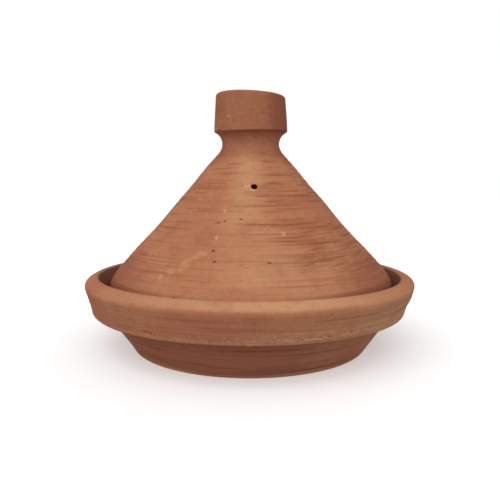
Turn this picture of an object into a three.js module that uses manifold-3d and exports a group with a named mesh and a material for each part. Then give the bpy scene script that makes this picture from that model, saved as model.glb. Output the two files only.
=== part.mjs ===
// A tagine: a clay cooking pot of two thrown pieces. A shallow dish has a thick rim band with a
// rounded lip, and a conical lid stands on a ledge inside that rim. The lid is closed at its neck,
// ends in a cup-shaped knob, and lets steam out through one pierced hole.
// Millimetres, +Z up, origin at the centre of the dish's foot. The steam vent faces the front, -Y.
import * as THREE from "three";
import { mergeVertices } from "three/addons/utils/BufferGeometryUtils.js";
import Module from "manifold-3d";

// Driving dimensions, in millimetres. A corner with a radius and a height is given before its
// rounding.
const LIP_TOP = { radius: 142.4, height: 66.4 };
const LIP_SIDE = { radius: 151, height: 61.4 }; // its rounding makes the dish 150 in radius
const BAND_FOOT = { radius: 143.6, height: 35.8 }; // the rim band leans out as it rises
const RIM_INNER_RADIUS = 138; // the lip's inner edge is crisp
const STEP_RADIUS = 132.3; // where the bowl's wall meets the underside of the band
const FOOT_RADIUS = 108.4;
const SEAT = { radius: 119, height: 46 }; // inner edge of the ledge that carries the lid
const FLOOR = { radius: 105, height: 10 }; // where the inner wall's line meets the floor

const SEAT_GAP = 0.3; // between the lid and its ledge
const LID_RADIUS = 130;
const LID_RIM_WIDTH = 9;
const HIP_HEIGHT = 60.5; // where the lid's upright rim turns in to the cone
const SHOULDER = { radius: 121.4, height: 73.5 }; // a soft bead under the cone
const CONE_FOOT = { radius: 119.8, height: 74.3 };
const CONE_FLARE = { radius: 90.5, height: 105 }; // above it the cone is a little steeper
const FLARE_ROUND = 800;
const NECK = { radius: 19.3, height: 187.7 }; // where the cone would meet the knob's underside
const NECK_ROUND = 12;
const KNOB_EDGE = { radius: 33.6, height: 195.1 };
const KNOB_TOP = { radius: 31.8, height: 228.9 };
const CUP_MOUTH_RADIUS = 25;
const CUP_FLOOR = { radius: 22.5, height: 202 };

const WALL = 7.8; // the cone's thickness, square to its surface
const DOME_HEIGHT = 188; // the hollow inside the cone ends here
const VENT_RADIUS = 2.7;
const VENT_HEIGHT = 145; // of its middle, on the cone's outer face
const VENT_TURN = THREE.MathUtils.degToRad(2.8); // from -Y towards +X, as the lid happens to lie

const TURNS = 60; // facets round each piece
const ARC_FACET = Math.PI / 7; // the most that one facet of a rounded corner turns

const CLAY = { lid: 0xb4774f, dish: 0x9a6245, roughness: 0.93, metalness: 0 };

const wasm = await Module();
wasm.setup();

// The points of an outline through corners [radius, height, rounding], with an arc of that rounding
// in each corner that has one.
function outline(corners) {
  const points = [];
  const at = (i) => new THREE.Vector2(corners[i][0], corners[i][1]);
  for (let i = 0; i < corners.length; i++) {
    const corner = at(i);
    const rounding = corners[i][2];
    if (!rounding) {
      points.push(corner);
      continue;
    }
    const back = at(i - 1).sub(corner).normalize();
    const onward = at(i + 1).sub(corner).normalize();
    const halfAngle = Math.acos(back.dot(onward)) / 2;
    const centre = back.clone().add(onward).setLength(rounding / Math.sin(halfAngle)).add(corner);
    const start = corner.clone().addScaledVector(back, rounding / Math.tan(halfAngle));
    const sweep = (Math.PI - 2 * halfAngle) * Math.sign(onward.cross(back));
    const facets = Math.max(2, Math.ceil(Math.abs(sweep) / ARC_FACET));
    for (let step = 0; step <= facets; step++) {
      points.push(start.clone().rotateAround(centre, (sweep * step) / facets));
    }
  }
  return points;
}

// The body of revolution of an outline, about +Z.
function turned(corners) {
  return new THREE.LatheGeometry(outline(corners), TURNS).rotateX(Math.PI / 2);
}

function solidOf(geometry) {
  const bare = geometry.clone().deleteAttribute("normal").deleteAttribute("uv");
  const merged = mergeVertices(bare, 1e-3);
  const vertProperties = new Float32Array(merged.attributes.position.array);
  const triVerts = new Uint32Array(merged.index.array);
  return new wasm.Manifold(new wasm.Mesh({ numProp: 3, vertProperties, triVerts }));
}

function geometryOf(solid) {
  const { vertProperties, triVerts } = solid.getMesh();
  const geometry = new THREE.BufferGeometry();
  geometry.setAttribute("position", new THREE.BufferAttribute(vertProperties, 3));
  geometry.setIndex(new THREE.BufferAttribute(triVerts, 1));
  geometry.computeVertexNormals();
  return geometry;
}

function clayMesh(name, geometry, colour) {
  const { roughness, metalness } = CLAY;
  const material = new THREE.MeshStandardMaterial({ color: colour, roughness, metalness });
  const mesh = new THREE.Mesh(geometry, material);
  mesh.name = name;
  return mesh;
}

// The cone's outer line above its flare: how much its radius shrinks for each millimetre of height.
const CONE_SLOPE = (CONE_FLARE.radius - NECK.radius) / (NECK.height - CONE_FLARE.height);

// The radius of that line, moved square to itself into the wall by a depth, at a height.
function coneRadius(height, depth) {
  return NECK.radius + CONE_SLOPE * (NECK.height - height) - depth * Math.hypot(1, CONE_SLOPE);
}

// The dish: bowl wall, step, rim band, lip, lid seat and floor.
function baseDish() {
  return turned([
    [0, 0],
    [FOOT_RADIUS, 0, 0.8],
    [STEP_RADIUS, BAND_FOOT.height, 2.5],
    [BAND_FOOT.radius, BAND_FOOT.height, 1.8],
    [LIP_SIDE.radius, LIP_SIDE.height, 5],
    [LIP_TOP.radius, LIP_TOP.height, 6],
    [RIM_INNER_RADIUS, LIP_TOP.height, 1.5],
    [RIM_INNER_RADIUS, SEAT.height, 4],
    [SEAT.radius, SEAT.height, 3],
    [FLOOR.radius, FLOOR.height, 14],
    [0, FLOOR.height],
  ]);
}

// The lid without its vent: hollow cone, rim, shoulder, neck and cup-shaped knob.
function lidBody() {
  const rimFoot = SEAT.height + SEAT_GAP;
  const rimInnerRadius = LID_RADIUS - LID_RIM_WIDTH;
  const inward = WALL / Math.SQRT2; // near its foot the cone leans at about 45 degrees
  return turned([
    [0, DOME_HEIGHT],
    [coneRadius(DOME_HEIGHT, WALL), DOME_HEIGHT, 6],
    [coneRadius(CONE_FLARE.height, WALL), CONE_FLARE.height, FLARE_ROUND],
    [CONE_FOOT.radius - inward, CONE_FOOT.height - inward, 20],
    [rimInnerRadius, HIP_HEIGHT, 12],
    [rimInnerRadius, rimFoot, 3],
    [LID_RADIUS, rimFoot, 4],
    [LID_RADIUS, HIP_HEIGHT, 16],
    [SHOULDER.radius, SHOULDER.height, 3],
    [CONE_FOOT.radius, CONE_FOOT.height, 4],
    [CONE_FLARE.radius, CONE_FLARE.height, FLARE_ROUND],
    [NECK.radius, NECK.height, NECK_ROUND],
    [KNOB_EDGE.radius, KNOB_EDGE.height, 0.8],
    [KNOB_TOP.radius, KNOB_TOP.height, 2.2],
    [CUP_MOUTH_RADIUS, KNOB_TOP.height, 2.2],
    [CUP_FLOOR.radius, CUP_FLOOR.height, 8],
    [0, CUP_FLOOR.height],
  ]);
}

// A peg where the steam vent goes through the cone's front, square to the wall.
function ventPeg() {
  const up = new THREE.Vector3(0, 1, 0);
  const outward = new THREE.Vector3(0, -1, CONE_SLOPE).normalize();
  const peg = new THREE.CylinderGeometry(VENT_RADIUS, VENT_RADIUS, 4 * WALL, 24);
  peg.applyQuaternion(new THREE.Quaternion().setFromUnitVectors(up, outward));
  return peg.translate(0, -coneRadius(VENT_HEIGHT, 0), VENT_HEIGHT).rotateZ(VENT_TURN);
}

const tagine = new THREE.Group();
tagine.add(clayMesh("base_dish", baseDish(), CLAY.dish));
const lid = solidOf(lidBody()).subtract(solidOf(ventPeg()));
tagine.add(clayMesh("conical_lid", geometryOf(lid), CLAY.lid));

export default tagine;
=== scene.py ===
# The looks of an unglazed clay tagine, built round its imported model.
# Both pieces are thrown and fired clay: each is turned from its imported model's outline, then marked by
# the potter's hand, with throwing lines, dents, pits and rubbed edges as real shape.
import math

import bmesh
import bpy
import numpy as np
from mathutils import Matrix, Vector
from mathutils.kdtree import KDTree


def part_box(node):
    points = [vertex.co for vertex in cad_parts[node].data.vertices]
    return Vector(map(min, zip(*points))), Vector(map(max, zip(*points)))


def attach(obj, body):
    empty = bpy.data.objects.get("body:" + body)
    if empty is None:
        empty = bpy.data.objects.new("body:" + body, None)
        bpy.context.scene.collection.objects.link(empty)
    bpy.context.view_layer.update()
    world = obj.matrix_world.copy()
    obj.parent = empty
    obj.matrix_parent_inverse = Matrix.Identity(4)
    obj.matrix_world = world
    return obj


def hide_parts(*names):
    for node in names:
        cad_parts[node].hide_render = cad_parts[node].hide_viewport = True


MM = 0.001
TURN = 2 * math.pi
TINY = 1e-6
WHITE = (1, 1, 1, 1)

# Places on the pot in mm: heights above the table, and one radius.
BAND = 36  # the lower edge of the dish's rim band
BAND_RADIUS = 141  # only the rim band and the lip are wider
SEAT = 46  # the ledge that carries the lid
LIP = 66  # the top of the dish's lip
SHOULDER = 74  # the bead at the foot of the lid's cone
NECK = 188  # where the lid is narrowest, under its knob

OUTLINE_STEP = 0.05  # mm: how finely an outline is measured before its rows are placed
TURNING_STEPS = 9  # how many of those steps its turning is averaged over
DEEPEST = 0.16  # mm: a line scored as deep as this, or deeper, is dark all through

# What a point of clay can be marked as, each from 0 to 1. The materials colour it by these. Some marks
# carry painted light and painted shade as well as the clay's own colours.
MARKS = ("wheel", "streak_and_painted_shade", "sandy_and_painted_light", "deep_and_painted_shade", "painted_grey_shade", "worn", "pit_and_painted_shade")

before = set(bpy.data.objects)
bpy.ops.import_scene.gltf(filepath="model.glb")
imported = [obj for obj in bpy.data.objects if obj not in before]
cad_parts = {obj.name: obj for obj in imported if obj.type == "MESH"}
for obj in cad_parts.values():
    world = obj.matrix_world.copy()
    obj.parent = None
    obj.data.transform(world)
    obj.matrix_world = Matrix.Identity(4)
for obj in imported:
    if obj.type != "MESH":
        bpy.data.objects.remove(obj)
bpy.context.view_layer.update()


# ---------------------------------------------------------------- outlines

def packed_outline(node):
    """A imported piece's outline in mm, (radius, height), from the axis round to the axis again:
    its column of vertices in the half plane that faces +X, taken in order along its edges."""
    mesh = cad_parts[node].data
    in_plane = {
        v.index: (round(v.co.x / MM, 3), round(v.co.z / MM, 3))
        for v in mesh.vertices
        if abs(v.co.y) < TINY and v.co.x > -TINY
    }
    links = {}
    for edge in mesh.edges:
        a, b = (in_plane.get(i) for i in edge.vertices)
        if a and b and a != b:
            links.setdefault(a, set()).add(b)
            links.setdefault(b, set()).add(a)
    ends = sorted((p for p in links if len(links[p]) == 1), key=lambda p: p[1])
    points, here, before = [ends[0]], ends[0], None
    while here != ends[1]:
        onward = next(p for p in links[here] if p != before)
        points.append(onward)
        before, here = here, onward
    if points[0][0] > 0:
        points.insert(0, (0.0, points[0][1]))
    if points[-1][0] > 0:
        points.append((0.0, points[-1][1]))
    return np.array(points)


def rounded(points, step=0.1):
    """The outline with each corner drawn as a curve that starts and ends half way along its sides."""
    sides = np.diff(points, axis=0)
    lengths = np.hypot(*sides.T)
    ways = sides / lengths[:, None]
    curve = [points[0][None]]
    for i in range(1, len(points) - 1):
        reach = 0.5 * min(lengths[i - 1], lengths[i])
        start = points[i] - ways[i - 1] * reach
        end = points[i] + ways[i] * reach
        t = np.linspace(0, 1, max(3, round(2 * reach / step)))[:, None]
        curve.append((1 - t) ** 2 * start + 2 * t * (1 - t) * points[i] + t ** 2 * end)
    curve.append(points[-1][None])
    return np.concatenate(curve)


class Outline:
    """Rows along a rounded outline, all in mm: radius, height, the way out of the clay, and the
    distance along. They are as far apart as `spacing` says, or nearer where the outline turns."""

    def __init__(self, node, spacing, most_turn=math.radians(9)):
        curve = rounded(packed_outline(node))
        along = np.concatenate([[0], np.cumsum(np.hypot(*np.diff(curve, axis=0).T))])
        keep = np.concatenate([[True], np.diff(along) > TINY])
        curve, along = curve[keep], along[keep]
        fine = np.arange(0, along[-1], OUTLINE_STEP)
        radius, height = (np.interp(fine, along, values) for values in curve.T)
        heading = np.unwrap(np.arctan2(np.gradient(height), np.gradient(radius)))
        turning = np.abs(np.gradient(heading, fine))
        turning = np.convolve(turning, np.ones(TURNING_STEPS) / TURNING_STEPS, "same")
        gaps = np.minimum(spacing(height, fine), most_turn / np.maximum(turning, TINY))
        count = np.cumsum(OUTLINE_STEP / gaps)
        wanted = np.linspace(0, count[-1], round(count[-1]) + 1)
        self.along = np.interp(wanted, count, fine)
        self.along[0] = 0
        self.radius = np.interp(self.along, along, curve[:, 0])
        self.height = np.interp(self.along, along, curve[:, 1])
        self.radius[0] = self.radius[-1] = 0
        smooth = np.interp(self.along, fine, heading)
        self.out_radius = np.sin(smooth)
        self.out_height = -np.cos(smooth)


# ---------------------------------------------------------------- the potter's marks

def ripple(rng, angle, along, turns, waves, count=28):
    """A smooth random field, about -2 to 2: waves that close on themselves round the pot, up to
    `turns` times, and that repeat along the outline at lengths within `waves`, in mm."""
    total = np.zeros(np.broadcast(angle, along).shape)
    for _ in range(count):
        lobes = rng.integers(-turns, turns + 1)
        rate = TURN / rng.uniform(*waves)
        total += np.cos(lobes * angle + rate * along + rng.uniform(0, TURN))
    return total / math.sqrt(count / 2)


def ramp(values, low, high):
    """0 below low, 1 above high, smooth between; low may be the greater."""
    t = np.clip((values - low) / (high - low), 0, 1)
    return t * t * (3 - 2 * t)


def bump(values, middle, width):
    """1 at the middle, and less on both sides."""
    return np.exp(-(((values - middle) / width) ** 2))


def angle_gap(angle, degrees):
    """Signed distance in degrees round the pot."""
    return (np.degrees(angle) - degrees + 180) % 360 - 180


class Clay:
    """A thrown piece as a grid of points: one row for each place on its outline, and one column for
    each angle. Angle 0 faces the front, -Y, and grows towards +X. Lengths are in mm."""

    def __init__(self, node, columns, spacing, seed):
        self.outline = Outline(node, spacing)
        self.rng = np.random.default_rng(seed)
        self.angle = np.arange(columns)[None] * TURN / columns
        line = self.outline
        self.radius, self.height, self.along = (
            v[:, None] for v in (line.radius, line.height, line.along)
        )
        shape = (len(line.radius), columns)
        self.lift = np.zeros(shape)  # along the way out of the clay
        self.widen = np.zeros(shape)  # along the radius
        self.rise = np.zeros(shape)  # along the height
        self.shift = np.zeros(shape)  # towards +X
        self.marks = {name: np.zeros(shape) for name in MARKS}

    def stroke(self, zone, degrees, height, reach, thick, depth, slope=0.0):
        """A line scored round the pot: its middle, the degrees that it reaches to each side, half
        its thickness, its depth, and how much one end is higher than the middle."""
        gap = angle_gap(self.angle, degrees) / reach
        across = (self.height - height - slope * gap) / thick
        here = np.clip(1 - gap ** 2, 0, 1) * np.exp(-(across ** 2)) * zone
        self.lift -= depth * here
        self.marks["streak_and_painted_shade"] = np.maximum(self.marks["streak_and_painted_shade"], here * min(1, depth / DEEPEST))

    def points(self):
        """The grid's points, in metres."""
        line = self.outline
        radius = self.radius + self.lift * line.out_radius[:, None] + self.widen
        height = self.height + self.lift * line.out_height[:, None] + self.rise
        x = radius * np.sin(self.angle) + self.shift
        y = -radius * np.cos(self.angle)
        return np.stack([x, y, height], axis=2) * MM

    def spot(self, zone, degrees, height):
        """The point of the zone's surface at an angle and a height."""
        rows = np.nonzero(zone[:, 0] > 0.5)[0]
        row = rows[np.argmin(np.abs(self.outline.height[rows] - height))]
        column = np.argmin(np.abs(angle_gap(self.angle[0], degrees)))
        return Vector(self.points()[row, column])

    def mesh(self, name):
        """The mesh object, with its marks as float attributes on its points."""
        points = self.points()
        poles = [points[0].mean(axis=0), points[-1].mean(axis=0)]
        rows, columns = len(points) - 2, points.shape[1]
        first = np.arange(rows - 1)[:, None] * columns
        here, there = np.arange(columns), (np.arange(columns) + 1) % columns
        quads = np.stack(
            [first + here, first + there, first + columns + there, first + columns + here], axis=2
        ).reshape(-1, 4)
        start_pole, end_pole = rows * columns, rows * columns + 1
        last = (rows - 1) * columns
        fans = [(start_pole, int(there[i]), int(here[i])) for i in range(columns)]
        fans += [(int(last + here[i]), int(last + there[i]), end_pole) for i in range(columns)]
        mesh = bpy.data.meshes.new(name)
        all_points = np.concatenate([points[1:-1].reshape(-1, 3), poles])
        mesh.from_pydata(all_points.tolist(), [], quads.tolist() + fans)
        mesh.polygons.foreach_set("use_smooth", [True] * len(mesh.polygons))
        for mark, values in self.marks.items():
            flat = np.concatenate([values[1:-1].ravel(), [values[0].mean(), values[-1].mean()]])
            attribute = mesh.attributes.new(mark, "FLOAT", "POINT")
            attribute.data.foreach_set("value", flat.astype(np.float32))
        piece = bpy.data.objects.new(name, mesh)
        bpy.context.scene.collection.objects.link(piece)
        return piece


def pressed(piece, presses, reach=2.2):
    """Small dents and lumps. Each press is a mark's name, its middle in metres, its radius and its
    depth in mm, where a lump's depth is below zero. The mesh is first made finer round them all, out
    to `reach` times the radius."""
    work = bmesh.new()
    work.from_mesh(piece.data)
    places = [(name, Vector(centre), radius * MM, depth * MM) for name, centre, radius, depth in presses]

    def near(centre, distance):
        return [vertices[i] for _, i, _ in tree.find_range(centre, distance)]

    for refining in (True, False):
        work.normal_update()
        vertices = list(work.verts)
        tree = KDTree(len(vertices))
        for i, vertex in enumerate(vertices):
            tree.insert(vertex.co, i)
        tree.balance()
        if refining:
            close = {v for _, centre, radius, _ in places for v in near(centre, reach * radius)}
            edges = {e for v in close for e in v.link_edges}
            bmesh.ops.subdivide_edges(work, edges=list(edges), cuts=2, use_grid_fill=True)
            continue
        for name, centre, radius, depth in places:
            around = near(centre, reach * radius)
            layer = work.verts.layers.float[name]
            inward = -sum((v.normal for v in around), Vector()).normalized()
            for v in around:
                share = math.exp(-1.5 * ((v.co - centre).length / radius) ** 2)
                v.co += inward * share * depth
                v[layer] = max(v[layer], share)
    work.to_mesh(piece.data)
    work.free()


# ---------------------------------------------------------------- camera, light and floor

CAMERA_AT = (0.2, -490.7, 142.9)  # mm
CAMERA_TILT = 6.65  # degrees below level
CAMERA_LENS = 37.6  # mm
CAMERA_SENSOR = 36  # mm wide

SKY_LIGHT = 0.45
GROUND_LIGHT = 0.22
HORIZON = 0.05  # how far above and below level the one turns into the other
SUN_WIDTH = 70  # degrees, so that every shadow is soft
FLOOR_RADIUS = 6  # metres
FLOOR_GREY = (0.9, 0.9, 0.9, 1)
FLOOR_GLOW = 0.3


def add_camera():
    data = bpy.data.cameras.new("camera")
    data.sensor_width = CAMERA_SENSOR
    data.lens = CAMERA_LENS
    camera = bpy.data.objects.new("camera", data)
    camera.location = Vector(CAMERA_AT) * MM
    camera.rotation_euler = (math.radians(90 - CAMERA_TILT), 0, 0)
    bpy.context.scene.collection.objects.link(camera)
    bpy.context.scene.camera = camera


def add_sun(name, degrees, elevation, strength):
    """A very wide sun, from an angle round the pot and an elevation."""
    data = bpy.data.lights.new(name, "SUN")
    data.angle = math.radians(SUN_WIDTH)
    data.energy = strength
    light = bpy.data.objects.new(name, data)
    turn, up = math.radians(degrees), math.radians(elevation)
    toward = Vector((math.sin(turn) * math.cos(up), -math.cos(turn) * math.cos(up), math.sin(up)))
    light.rotation_euler = toward.to_track_quat("Z", "Y").to_euler()
    bpy.context.scene.collection.objects.link(light)


def add_world():
    """An even sky over a dimmer ground. Behind the pot the camera sees plain white instead."""
    world = bpy.data.worlds.new("studio")
    world.use_nodes = True
    tree = world.node_tree
    way = made(tree, "ShaderNodeTexCoord").outputs["Generated"]
    up = made(tree, "ShaderNodeSeparateXYZ", {"Vector": way}).outputs["Z"]
    from_up = {"Value": up, "From Min": -HORIZON, "From Max": HORIZON}
    to_light = {"To Min": GROUND_LIGHT, "To Max": SKY_LIGHT}
    dome = made(tree, "ShaderNodeMapRange", from_up | to_light).outputs[0]
    seen = made(tree, "ShaderNodeLightPath").outputs["Is Camera Ray"]
    strength = made(tree, "ShaderNodeMix", {"Factor": seen, "A": dome, "B": 1.0}).outputs[0]
    background = tree.nodes["Background"]
    background.inputs["Color"].default_value = WHITE
    tree.links.new(strength, background.inputs["Strength"])
    bpy.context.scene.world = world


def add_light():
    add_world()
    add_sun("key", -30, 40, 1.3)
    add_sun("fill", 30, 40, 0.38)
    add_sun("front", 15, 15, 0.3)
    add_sun("left_side", -105, 5, 0.22)
    add_sun("right_side", 105, 5, 0.34)
    add_sun("back", 180, 25, 0.25)
    bpy.context.scene.view_settings.view_transform = "Standard"


def add_floor():
    """A wide pale disc that takes the pot's shadow. It glows a little, so that it meets the white
    behind it without an edge, and it leaves the light from below to the world's ground."""
    work = bmesh.new()
    bmesh.ops.create_circle(work, cap_ends=True, radius=FLOOR_RADIUS, segments=96)
    mesh = bpy.data.meshes.new("studio_floor")
    work.to_mesh(mesh)
    work.free()
    floor = bpy.data.objects.new("studio_floor", mesh)
    bpy.context.scene.collection.objects.link(floor)
    floor.visible_diffuse = False
    floor.visible_shadow = False
    material = bpy.data.materials.new("studio_floor")
    material.use_nodes = True
    surface = material.node_tree.nodes["Principled BSDF"]
    surface.inputs["Base Color"].default_value = FLOOR_GREY
    surface.inputs["Roughness"].default_value = 1.0
    surface.inputs["Specular IOR Level"].default_value = 0.0
    surface.inputs["Emission Color"].default_value = WHITE
    surface.inputs["Emission Strength"].default_value = FLOOR_GLOW
    floor.data.materials.append(material)


# ---------------------------------------------------------------- material

def linear(red, green, blue):
    """A colour given as 0-255 screen values, for a shader."""
    def one(v):
        v /= 255
        return v / 12.92 if v <= 0.04045 else ((v + 0.055) / 1.055) ** 2.4
    return (one(red), one(green), one(blue), 1)


def made(tree, kind, inputs=None, **settings):
    """A shader node with its settings; an input is given a value, or linked when given a socket."""
    node = tree.nodes.new(kind)
    for name, value in settings.items():
        setattr(node, name, value)
    for name, value in (inputs or {}).items():
        if isinstance(value, bpy.types.NodeSocket):
            tree.links.new(value, node.inputs[name])
        else:
            node.inputs[name].default_value = value
    return node


def times(tree, a, b):
    return made(tree, "ShaderNodeMath", {0: a, 1: b}, operation="MULTIPLY").outputs[0]


def plus(tree, a, b):
    return made(tree, "ShaderNodeMath", {0: a, 1: b}, operation="ADD").outputs[0]


def stepped(tree, value, low, high):
    """0 below low and 1 above high, smooth between."""
    inputs = {"Value": value, "From Min": low, "From Max": high}
    return made(tree, "ShaderNodeMapRange", inputs, interpolation_type="SMOOTHSTEP").outputs[0]


def tinted(tree, share, under, over):
    """Colour `over` laid on colour `under`. A mix of colours has them on its inputs 6 and 7."""
    inputs = {0: share, 6: under, 7: over}
    return made(tree, "ShaderNodeMix", inputs, data_type="RGBA").outputs[2]


def noise(tree, where, scale, detail=3.0, roughness=0.55, stretch=None):
    """Noise over the piece; stretch squeezes its height, so that the noise runs round the pot."""
    if stretch:
        inputs = {"Vector": where, "Scale": (1, 1, stretch)}
        where = made(tree, "ShaderNodeMapping", inputs).outputs[0]
    inputs = {"Vector": where, "Scale": scale, "Detail": detail, "Roughness": roughness}
    return made(tree, "ShaderNodeTexNoise", inputs).outputs[0]


def mark(tree, name):
    return made(tree, "ShaderNodeAttribute", attribute_name=name).outputs["Fac"]


def ragged_mark(tree, name, pattern, drift):
    """A mark whose soft edge is made ragged by a noise pattern."""
    ragged = plus(tree, mark(tree, name), times(tree, plus(tree, pattern, -0.5), drift))
    return stepped(tree, ragged, 0.1, 1.0)


def specks(tree, where, scale, share, size):
    """Round specks: one in each of a share of the cells, as wide as size is of a cell."""
    cells = made(tree, "ShaderNodeTexVoronoi", {"Vector": where, "Scale": scale})
    chosen = stepped(tree, cells.outputs["Color"], 1 - share, 1.005 - share)
    return times(tree, stepped(tree, cells.outputs["Distance"], size, 0.5 * size), chosen)


def clay_material(name, body, sandy_and_painted_light, streak_and_painted_shade, deep_and_painted_shade, painted_grey_shade, pale, pit_and_painted_shade):
    """Unglazed clay. Its tone drifts in soft patches, fine lines run round it from the wheel, and it
    is full of sand grains. The piece's marks lay the other colours on top."""
    material = bpy.data.materials.new(name)
    material.use_nodes = True
    tree = material.node_tree
    surface = tree.nodes["Principled BSDF"]
    where = made(tree, "ShaderNodeTexCoord").outputs["Object"]

    broad = noise(tree, where, 11, 3)
    blotches = noise(tree, where, 55, 4, 0.6)
    mottle = noise(tree, where, 240, 3, 0.6)
    lines = noise(tree, where, 8, 3, 0.6, stretch=34)
    fine_lines = noise(tree, where, 16, 3, 0.65, stretch=60)
    grain = noise(tree, where, 1100, 2, 0.7)
    wheel = mark(tree, "wheel")

    # soft patches, the piece's marks with their painted light and shade, and the wheel's lines
    colour = tinted(tree, times(tree, stepped(tree, broad, 0.42, 0.66), 0.45), body, sandy_and_painted_light)
    colour = tinted(tree, times(tree, ragged_mark(tree, "sandy_and_painted_light", broad, 1.1), 0.85), colour, sandy_and_painted_light)
    colour = tinted(tree, ragged_mark(tree, "deep_and_painted_shade", blotches, 0.7), colour, deep_and_painted_shade)
    colour = tinted(tree, times(tree, stepped(tree, blotches, 0.54, 0.3), 0.35), colour, deep_and_painted_shade)
    colour = tinted(tree, ragged_mark(tree, "painted_grey_shade", blotches, 0.7), colour, painted_grey_shade)
    for pattern, low, high, share in ((lines, 0.54, 0.74, 0.4), (fine_lines, 0.53, 0.7, 0.35)):
        lined = times(tree, stepped(tree, pattern, low, high), share)
        colour = tinted(tree, times(tree, lined, wheel), colour, streak_and_painted_shade)
    broken = times(tree, mark(tree, "streak_and_painted_shade"), stepped(tree, mottle, 0.15, 0.5))
    colour = tinted(tree, times(tree, broken, 0.85), colour, streak_and_painted_shade)

    # mottling, grains of sand, and specks
    for pattern, low, high, share, tint in (
        (mottle, 0.5, 0.75, 0.09, pale),
        (mottle, 0.5, 0.25, 0.16, streak_and_painted_shade),
        (grain, 0.56, 0.75, 0.2, pale),
        (grain, 0.44, 0.25, 0.3, streak_and_painted_shade),
    ):
        colour = tinted(tree, times(tree, stepped(tree, pattern, low, high), share), colour, tint)
    colour = tinted(tree, times(tree, specks(tree, where, 150, 0.09, 0.09), 0.55), colour, pale)
    colour = tinted(tree, times(tree, specks(tree, where, 95, 0.05, 0.08), 0.7), colour, pit_and_painted_shade)

    # rubbed edges, and pits with the painted shade that the pit mark also carries, lie over all the rest
    rubbed = times(tree, mark(tree, "worn"), stepped(tree, mottle, 0.36, 0.56))
    colour = tinted(tree, times(tree, rubbed, 0.7), colour, pale)
    colour = tinted(tree, stepped(tree, mark(tree, "pit_and_painted_shade"), 0.2, 0.8), colour, pit_and_painted_shade)
    tree.links.new(colour, surface.inputs["Base Color"])

    rough = made(tree, "ShaderNodeMapRange", {"Value": blotches, "To Min": 0.82, "To Max": 0.96})
    tree.links.new(rough.outputs[0], surface.inputs["Roughness"])
    surface.inputs["Specular IOR Level"].default_value = 0.12

    ridges = plus(tree, times(tree, fine_lines, 0.5), times(tree, grain, 0.3))
    ridges = plus(tree, ridges, times(tree, mottle, 0.6))
    relief = {"Strength": 0.55, "Distance": 0.0006, "Height": ridges}
    tree.links.new(made(tree, "ShaderNodeBump", relief).outputs[0], surface.inputs["Normal"])
    return material


# ---------------------------------------------------------------- the lid

LID_COLUMNS = 192
LID_ROWS = dict(cone=0.63, outside=0.9, inside=2.4)  # mm from one row to the next
LID_GROOVES = 9  # mm from one finger groove inside to the next
LID_STREAKS, RISING_STREAKS, LID_PITS = 560, 42, 30
LID_SHIFT = 0.8  # mm: the lid doesn't sit quite in the middle of the dish
LID_OFFSET = Vector((LID_SHIFT * MM, 0, 0))
BURR_TURN = 0.24  # radians from one crumb at the vent to the next
KNOB_RADIUS = 32
KNOB_LEAN = 0.045  # how much the knob's top falls for each mm towards +X
STRAIGHT_CONE = (0.45, 0.65)  # of the lid's height, up from its foot


def vent_of(node):
    """The middle of the vent's mouth, its axis outward and its radius, in metres. Its rings are the
    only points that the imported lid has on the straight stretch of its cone."""
    low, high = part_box(node)
    start, end = (low.z + share * (high.z - low.z) for share in STRAIGHT_CONE)
    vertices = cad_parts[node].data.vertices
    points = np.array([v.co for v in vertices if start < v.co.z < end])
    middle = points.mean(axis=0)
    axis = np.linalg.svd(points - middle)[2][0]
    axis *= np.sign(axis[2])
    along = (points - middle) @ axis
    across = (points - middle) - np.outer(along, axis)
    mouth = points[along > 0].mean(axis=0)
    return Vector(mouth), Vector(axis), float(np.median(np.linalg.norm(across, axis=1)))


def pierced(piece, middle, axis, radius, length):
    """A round hole through the piece, as a stick pushed through soft clay leaves it. Its inside is
    painted near black, as painted shade."""
    work = bmesh.new()
    ring = {"cap_ends": True, "segments": 40, "radius1": radius, "radius2": radius, "depth": length}
    bmesh.ops.create_cone(work, **ring)
    place = Matrix.Translation(middle) @ axis.to_track_quat("Z", "Y").to_matrix().to_4x4()
    bmesh.ops.transform(work, matrix=place, verts=work.verts)
    mesh = bpy.data.meshes.new("stick")
    work.to_mesh(mesh)
    work.free()
    stick = bpy.data.objects.new("stick", mesh)
    bpy.context.scene.collection.objects.link(stick)
    cut = piece.modifiers.new("vent", "BOOLEAN")
    cut.object = stick
    cut.operation = "DIFFERENCE"
    cut.solver = "EXACT"
    shaped = piece.evaluated_get(bpy.context.evaluated_depsgraph_get())
    piece.data = bpy.data.meshes.new_from_object(shaped)
    piece.modifiers.clear()
    bpy.data.objects.remove(stick)
    # painted shade: the hole's inside takes the pit colour, near black
    dark = piece.data.attributes["pit_and_painted_shade"].data
    for i, vertex in enumerate(piece.data.vertices):
        along = (vertex.co - middle) @ axis
        if ((vertex.co - middle) - along * axis).length < 1.01 * radius:
            dark[i].value = 1.0


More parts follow.
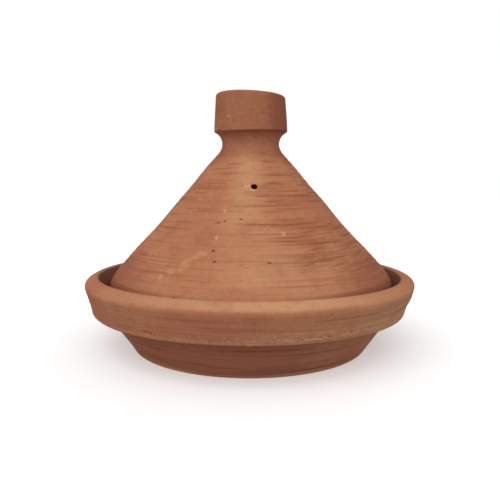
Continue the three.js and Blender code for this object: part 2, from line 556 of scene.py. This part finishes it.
def lid():
    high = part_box("conical_lid")[1]
    top, rim_radius = high.z / MM, high.x / MM

    def spacing(height, along):
        outside = (along > along[np.argmin(height)]) & (along < along[np.argmax(height)])
        on_cone = outside & (height > SHOULDER - 4) & (height < NECK - 8)
        elsewhere = np.where(outside, LID_ROWS["outside"], LID_ROWS["inside"])
        return np.where(on_cone, LID_ROWS["cone"], elsewhere)

    clay = Clay("conical_lid", LID_COLUMNS, spacing, seed=11)
    rng, angle, height, along = clay.rng, clay.angle, clay.height, clay.along
    line = clay.outline
    foot_at = line.along[np.argmin(line.height)]
    top_at = line.along[np.argmax(line.height)]
    on_knob = (line.along > foot_at) & (line.height > NECK + 2)
    knob_edge = line.along[np.argmax(np.where(on_knob, line.radius, 0))]
    outside = ramp(along, foot_at + 2, foot_at + 6) * ramp(along, top_at - 1, top_at - 4)
    inside = ramp(along, foot_at - 4, foot_at - 14)
    cone = ramp(height, SHOULDER - 8, SHOULDER + 2) * ramp(height, NECK - 8, NECK - 18) * outside
    knob = ramp(height, NECK + 4, NECK + 8)

    # not quite round, and the knob leans and has a lower edge that droops in front
    out_of_round = 0.35 * np.cos(2 * angle + 0.6) + 0.2 * np.cos(3 * angle + 2.0)
    clay.widen += out_of_round * clay.radius / rim_radius
    clay.shift += LID_SHIFT
    from_high_side = clay.radius * np.sin(angle) + KNOB_RADIUS
    clay.rise -= KNOB_LEAN * from_high_side * ramp(height, NECK + 8, top - 4)
    clay.rise -= 1.5 * bump(angle_gap(angle, -12), 0, 55) * bump(along, knob_edge, 5)

    # throwing rings outside, and finger grooves inside
    rings = ripple(rng, angle, along, 2, (2.6, 8.0), 40)
    clay.lift += 0.2 * ripple(rng, angle, along, 4, (30, 90)) * outside
    clay.lift += 0.06 * rings * cone + 0.03 * ripple(rng, angle, along, 9, (3, 12)) * outside
    clay.lift += 0.45 * np.cos(TURN * along / LID_GROOVES + angle) * inside
    lid_streaks(clay, cone, rings)
    lid_tones(clay, cone, knob, outside)

    piece = clay.mesh("conical_lid_clay")
    pressed(piece, lid_presses(clay, outside))
    mouth, axis, radius = vent_of("conical_lid")
    pierced(piece, mouth + LID_OFFSET, axis, radius, 10 * radius)
    return piece


def streaked_share(degrees):
    """How many of the streaks are scored there: few in front, some on the left, all elsewhere."""
    if abs(degrees + 6) < 15:
        return 0.12
    return 0.4 if -80 < degrees < 0 else 1.0


def lid_streaks(clay, cone, rings):
    """Lines scored by sand under the potter's hand: many from the right of the front round to the
    back, fewer and fainter on the left, and hardly any in front. Short ones that rise to the right
    crowd low on that side."""
    rng = clay.rng
    from_front = angle_gap(clay.angle, -8)
    sides = ramp(np.abs(from_front), 8, 32) * (1 - 0.5 * bump(angle_gap(clay.angle, -60), 0, 50))
    clay.marks["streak_and_painted_shade"] += 0.32 * ramp(rings, 0.4, 1.8) * sides * cone
    for _ in range(LID_STREAKS):
        degrees = rng.uniform(-180, 180)
        share = streaked_share(degrees)
        height = rng.uniform(SHOULDER - 4, NECK - 10)
        reach = rng.uniform(4, 30)
        thick = rng.uniform(0.45, 0.95)
        depth = rng.uniform(0.03, 0.2) * math.sqrt(share)
        slope = rng.uniform(-0.6, 0.8)
        if rng.random() < share:
            clay.stroke(cone, degrees, height, reach, thick, depth, slope)
    for _ in range(RISING_STREAKS):
        degrees = rng.uniform(24, 76)
        height = rng.uniform(SHOULDER, SHOULDER + 38)
        reach = rng.uniform(4, 12)
        thick = rng.uniform(0.45, 0.9)
        depth = rng.uniform(0.05, 0.14)
        clay.stroke(cone, degrees, height, reach, thick, depth, slope=rng.uniform(0.3, 1.8))


def lid_tones(clay, cone, knob, outside):
    """Painted light down the front of the cone, in the sandy colour; deeper clay on the knob; painted
    shade round the flanks and back, low on the sides, at the neck under the knob and on the knob's right
    side; painted grey shade low on the right; painted shade below the shoulder where the lid meets the
    dish's lip, and a rubbed edge at the top."""
    height = clay.height
    from_front = angle_gap(clay.angle, -4)
    from_right = np.abs(angle_gap(clay.angle, 90))
    # painted light down the front of the cone, in the sandy colour, stronger higher up
    front = bump(from_front, 0, 20) * (0.6 + 0.4 * ramp(height, SHOULDER + 26, SHOULDER + 51))
    clay.marks["sandy_and_painted_light"] += front * cone
    clay.marks["wheel"] += cone * (1 - 0.75 * front)
    # painted shade in the deep colour: round the flanks and back, low on the sides, at the neck under
    # the knob and on the knob's right side; the knob's own clay is deeper as well
    round_back = 0.4 * ramp(np.abs(from_front), 25, 75) * ramp(height, NECK + 4, NECK - 12)
    low_sides = 0.5 * ramp(np.abs(from_front), 18, 50) * ramp(height, SHOULDER + 34, SHOULDER + 2)
    low_sides -= 0.25 * bump(np.abs(from_front), 60, 40) * bump(height, SHOULDER + 16, 12)
    neck = 0.55 * ramp(height, NECK - 28, NECK - 14) * (1 - knob)
    knob_side = 0.9 * ramp(from_right, 69, 34) * knob
    deep_and_painted_shade = round_back + low_sides + neck + 0.6 * knob + knob_side
    clay.marks["deep_and_painted_shade"] += np.clip(deep_and_painted_shade, 0, 1) * outside
    # painted shade on the knob's right side, in the streak colour
    clay.marks["streak_and_painted_shade"] += 0.5 * ramp(from_right, 59, 24) * knob * outside
    # painted shade in grey, low on the right side of the lid
    low_right = ramp(from_right, 59, 34) * ramp(height, SHOULDER + 16, SHOULDER - 4)
    clay.marks["painted_grey_shade"] += 0.35 * low_right * outside
    # painted shade on the lid just below the lip's height, away from the front, where the lid meets the
    # dish's lip
    rim = ramp(np.abs(from_front), 5, 45) * ramp(height, LIP + 0.2, LIP - 1.2)
    clay.marks["streak_and_painted_shade"] += 0.7 * rim * outside
    clay.marks["worn"] += 0.5 * bump(clay.along, clay.along[np.argmax(clay.height)], 2.5)


def lid_presses(clay, outside):
    """Dents, gouges and specks of grit. Each is given by its degrees and its height."""
    rng = clay.rng
    presses = []

    def press(name, degrees, height, radius, depth):
        presses.append((name, clay.spot(outside, degrees, height), radius, depth))

    def gouge(degrees, height, length, radius, depth):
        spot = clay.spot(outside, degrees, height)
        for step in np.linspace(-0.5, 0.5, max(2, round(length / radius))):
            presses.append(("pit_and_painted_shade", spot + Vector((step * length * MM, 0, 0)), radius, depth))

    def scuff(start, end, radius):
        for share in np.linspace(0, 1, 9):
            degrees, height = (a + share * (b - a) for a, b in zip(start, end))
            degrees, height = degrees + rng.normal(0, 1.1), height + rng.normal(0, 1.1)
            press("sandy_and_painted_light", degrees, height, radius * rng.uniform(0.7, 1.3), rng.uniform(-0.12, 0.08))

    # gouges, then grit on the knob, pale lumps and flakes
    gouge(-18.7, 116.6, 7, 0.7, 0.5)
    short = ((-15.9, 118), (-4.9, 119.1), (-17.3, 96.4), (-14.6, 89), (-26.5, 64), (6.7, 88.6))
    for degrees, height in short:
        gouge(degrees, height, 2.2, 0.7, 0.6)
    for degrees, height in ((-36, 205.6), (-22.6, 215.3)):
        press("worn", degrees, height, 1.0, -0.35)
    for degrees, height in ((-42, 134.6), (-40, 126.4)):
        press("sandy_and_painted_light", degrees, height, 2.4, -0.15)
    for degrees, height in ((-36, 77), (-17.3, 105.6), (-16.5, 125.8), (16.8, 108.5)):
        press("worn", degrees, height, 1.5, -0.25)
        press("worn", degrees, height - 1.5, 1.2, -0.15)
    scuff((-21, 95), (-31, 80), 3.4)
    scuff((-49, 95), (-51, 87), 1.7)
    scuff((46, 86), (52, 76), 1.7)
    for _ in range(LID_PITS):
        degrees, height = rng.uniform(-180, 180), rng.uniform(SHOULDER - 12, NECK - 12)
        press("pit_and_painted_shade", degrees, height, rng.uniform(0.4, 0.7), 0.35)
    # a lump and three nicks at the knob's edge, and a crumb beside the vent
    press("worn", -66, 196.5, 1.8, -0.5)
    for degrees in (-62, -57, -52):
        press("streak_and_painted_shade", degrees, 195, 1.5, rng.uniform(0.5, 0.9))
    mouth, axis, radius = vent_of("conical_lid")
    press("worn", math.degrees(math.atan2(mouth.x, -mouth.y)) - 6.5, mouth.z / MM, 1.7, -0.3)
    return presses + burr(mouth + LID_OFFSET, axis, radius, rng)


def burr(mouth, axis, radius, rng):
    """The crumbs that a stick leaves on one side of its hole."""
    round_hole = axis.orthogonal().normalized()
    presses = []
    for turn in np.arange(0, TURN, BURR_TURN):
        way = Matrix.Rotation(turn, 3, axis) @ round_hole
        if way.x < 0.35 and way.z < 0.4:
            out = radius * rng.uniform(1.25, 1.7)
            presses.append(("worn", mouth + way * out, rng.uniform(0.9, 1.5), rng.uniform(-0.4, -0.2)))
    return presses


# ---------------------------------------------------------------- the dish

DISH_COLUMNS = 320
DISH_ROWS = dict(underside=2.2, outside=0.85, inside=2.1)  # mm from one row to the next
DISH_GROOVES = 10.5  # mm from one finger groove inside to the next
TRIMMED_RINGS = 14  # mm from one ring on the underside to the next
DISH_STREAKS, CRUMBS, DISH_PITS = 70, 160, 35


def dish():
    lip_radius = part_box("base_dish")[1].x / MM

    def spacing(height, along):
        outside = along < along[np.argmax(height)] + 10
        underside = (height < 0.5) & outside
        elsewhere = np.where(outside, DISH_ROWS["outside"], DISH_ROWS["inside"])
        return np.where(underside, DISH_ROWS["underside"], elsewhere)

    clay = Clay("base_dish", DISH_COLUMNS, spacing, seed=23)
    rng, angle, height, along = clay.rng, clay.angle, clay.height, clay.along
    line = clay.outline
    top_at = line.along[np.argmax(line.height)]
    foot_at = line.along[np.nonzero(line.height > 1.5)[0][0]]
    outside = ramp(along, foot_at, foot_at + 3) * ramp(along, top_at + 6, top_at)
    inside = ramp(along, top_at + 22, top_at + 60)
    under = ramp(along, foot_at - 6, foot_at - 14)

    # not quite round, with throwing rings outside, finger grooves inside and trimmed rings below
    out_of_round = 0.25 + 0.15 * np.cos(2 * angle - 0.8) + 0.1 * np.cos(3 * angle + 1.0)
    clay.widen -= out_of_round * clay.radius / lip_radius
    uneven = ripple(rng, angle, along, 5, (40, 90))
    clay.lift += 0.18 * uneven * outside * ramp(height, LIP, LIP - 16)
    rings = ripple(rng, angle, along, 2, (2.6, 9.0), 40)
    clay.lift += 0.05 * rings * outside * ramp(height, LIP - 4, LIP - 10)
    clay.lift += 0.5 * np.cos(TURN * along / DISH_GROOVES + angle) * inside
    trimmed = np.cos(TURN * clay.radius / TRIMMED_RINGS + 1.5 * np.cos(angle))
    clay.lift -= 0.15 * (1 + trimmed) * under
    clay.marks["streak_and_painted_shade"] += 0.28 * ramp(trimmed, 0.1, 1) * under

    # the band's lower edge wavers and sags, and on the right the band is hollow and the lip lower
    band_foot = line.along[np.nonzero(line.radius > BAND_RADIUS)[0][0]]
    edge = bump(along, band_foot, 4.5)
    on_band = ramp(along, band_foot - 5, band_foot) * outside
    sagged = 0.9 * bump(angle_gap(angle, 65), 0, 18)
    clay.rise += (0.3 * ripple(rng, angle, along * 0, 7, (30, 60)) - sagged) * edge
    hollow = bump(angle_gap(angle, 85), 0, 30) * ramp(height, BAND + 14, BAND + 7)
    clay.widen -= 1.9 * hollow * on_band
    clay.widen += (0.25 - 0.6 * np.sin(angle) + 0.3 * np.cos(5 * angle + 1.3)) * edge
    over_band = ramp(clay.radius, BAND_RADIUS + 6, BAND_RADIUS - 1)
    on_lip_top = over_band * ramp(height, LIP - 11, LIP - 4)
    clay.rise -= 1.6 * bump(angle_gap(angle, 75), 0, 50) * on_lip_top
    dish_streaks(clay, outside)
    dish_tones(clay, outside, edge, top_at)

    piece = clay.mesh("base_dish_clay")
    pressed(piece, dish_presses(clay, outside))
    return piece


def dish_streaks(clay, outside):
    """Trimming lines low on the wall, and lighter ones on the rim band."""
    rng = clay.rng
    clay.stroke(outside, 20, 5.3, 26, 0.6, 0.35)
    for _ in range(DISH_STREAKS):
        on_wall = rng.random() < 0.5
        height = rng.uniform(3, BAND - 6) if on_wall else rng.uniform(BAND + 2, LIP - 11)
        reach = rng.uniform(5, 22)
        thick = rng.uniform(0.35, 0.8)
        depth = rng.uniform(0.04, 0.14 if on_wall else 0.08)
        clay.stroke(outside, rng.uniform(-180, 180), height, reach, thick, depth)


def dish_tones(clay, outside, edge, top_at):
    """A lip of sandy clay, with painted light in front and painted shade at its sides and back; a redder
    band with a rubbed lower edge and painted light at its front right; a deep red wall that is partly
    painted shade under the band, lighter at the front right as painted light; and painted shade in grey,
    in a dark streak and in near black inside the rim, where the lid shades it."""
    height, radius = clay.height, clay.radius
    past_top = ramp(clay.along, top_at, top_at + 1)
    rim_radius = radius[(clay.along > top_at) & (height > 0.8 * height.max())].min()
    in_rim = past_top * ramp(radius, rim_radius + 1.1, rim_radius + 0.2)
    round_pot = angle_gap(clay.angle, 0)
    # the lip: sandy clay all round, with more of the sandy colour in front as painted light and the deep
    # colour at its sides and back as painted shade
    front = bump(round_pot, 3, 33)
    on_lip = ramp(height, LIP - 7.5, LIP - 3) * (1 - in_rim)
    clay.marks["sandy_and_painted_light"] += (0.35 + 0.65 * front) * on_lip
    clay.marks["deep_and_painted_shade"] += 0.6 * (1 - front) * on_lip
    # painted light on the band at the front right, in the sandy colour
    clay.marks["sandy_and_painted_light"] += 0.6 * bump(round_pot, 44, 34) * bump(height, BAND + 7, 10) * outside
    # the wall under the band: deeper red clay and partly painted shade under the band, with less of it
    # at the front right as painted light
    painted_light_right = 0.8 * bump(round_pot, 42, 26)
    clay.marks["deep_and_painted_shade"] += ramp(height, BAND + 1, BAND - 3) * (1 - painted_light_right) * outside
    clay.marks["streak_and_painted_shade"] += 0.3 * ramp(height, 16, 2) * outside
    # painted shade inside the rim, where the lid shades it: grey over the rim's inner wall, less grey
    # and a darker streak on the right, and near black low in the gap
    rim_wall = in_rim * ramp(height, SEAT - 6, SEAT + 2)
    clay.marks["painted_grey_shade"] += rim_wall * (1 - 0.4 * bump(round_pot, 95, 40))
    # painted shade in grey on the lip at the back
    clay.marks["painted_grey_shade"] += 0.9 * ramp(np.abs(round_pot), 74, 100) * on_lip
    clay.marks["streak_and_painted_shade"] += 0.35 * rim_wall * bump(round_pot, 95, 40)
    clay.marks["pit_and_painted_shade"] += 0.4 * rim_wall * ramp(height, SEAT + 11, SEAT + 4)
    clay.marks["deep_and_painted_shade"] += 0.6 * (in_rim - rim_wall)
    clay.marks["wheel"] += 0.6 * ramp(height, LIP - 6, LIP - 12) * outside
    clay.marks["worn"] += 0.25 * edge


def dish_presses(clay, outside):
    """Dents and chips on the band, and crumbs of clay dragged along its lower edge."""
    rng = clay.rng
    presses = []

    def press(name, degrees, height, radius, depth):
        presses.append((name, clay.spot(outside, degrees, height), radius, depth))

    for degrees, height in ((-31.4, 40.5), (-30.6, 40.3), (-29.8, 40.0)):
        press("streak_and_painted_shade", degrees, height, 1.2, 0.7)
    press("worn", -22.1, 37, 1.8, 0.7)
    press("worn", 0, 36.5, 2.4, -0.3)
    for _ in range(CRUMBS):
        raised = rng.random() < 0.8
        height = BAND + 2.5 + abs(rng.normal(0, 1.8))
        depth = rng.uniform(-0.4, -0.15) if raised else rng.uniform(0.1, 0.3)
        press("worn" if raised else "streak_and_painted_shade", rng.normal(29, 13), height, rng.uniform(0.6, 1.2), depth)
    for _ in range(DISH_PITS):
        press("pit_and_painted_shade", rng.uniform(-180, 180), rng.uniform(4, LIP - 6), rng.uniform(0.4, 0.7), 0.35)
    return presses


# the clay's colours, some of which are also used for painted light and painted shade
LID_CLAY = dict(
    body=linear(182, 119, 85),
    sandy_and_painted_light=linear(196, 143, 104),
    streak_and_painted_shade=linear(134, 70, 46),
    deep_and_painted_shade=linear(152, 92, 69),
    painted_grey_shade=linear(148, 99, 74),
    pale=linear(216, 172, 142),
    pit_and_painted_shade=linear(66, 28, 18),
)
DISH_CLAY = dict(
    body=linear(178, 113, 84),
    sandy_and_painted_light=linear(202, 150, 110),
    streak_and_painted_shade=linear(112, 62, 46),
    deep_and_painted_shade=linear(170, 105, 78),
    painted_grey_shade=linear(164, 119, 99),
    pale=linear(206, 158, 128),
    pit_and_painted_shade=linear(50, 27, 21),
)

add_camera()
add_light()
add_floor()

lid_piece = lid()
lid_piece.data.materials.append(clay_material("lid_clay", **LID_CLAY))
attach(lid_piece, "lid")
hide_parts("conical_lid")

dish_piece = dish()
dish_piece.data.materials.append(clay_material("dish_clay", **DISH_CLAY))
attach(dish_piece, "dish")
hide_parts("base_dish")
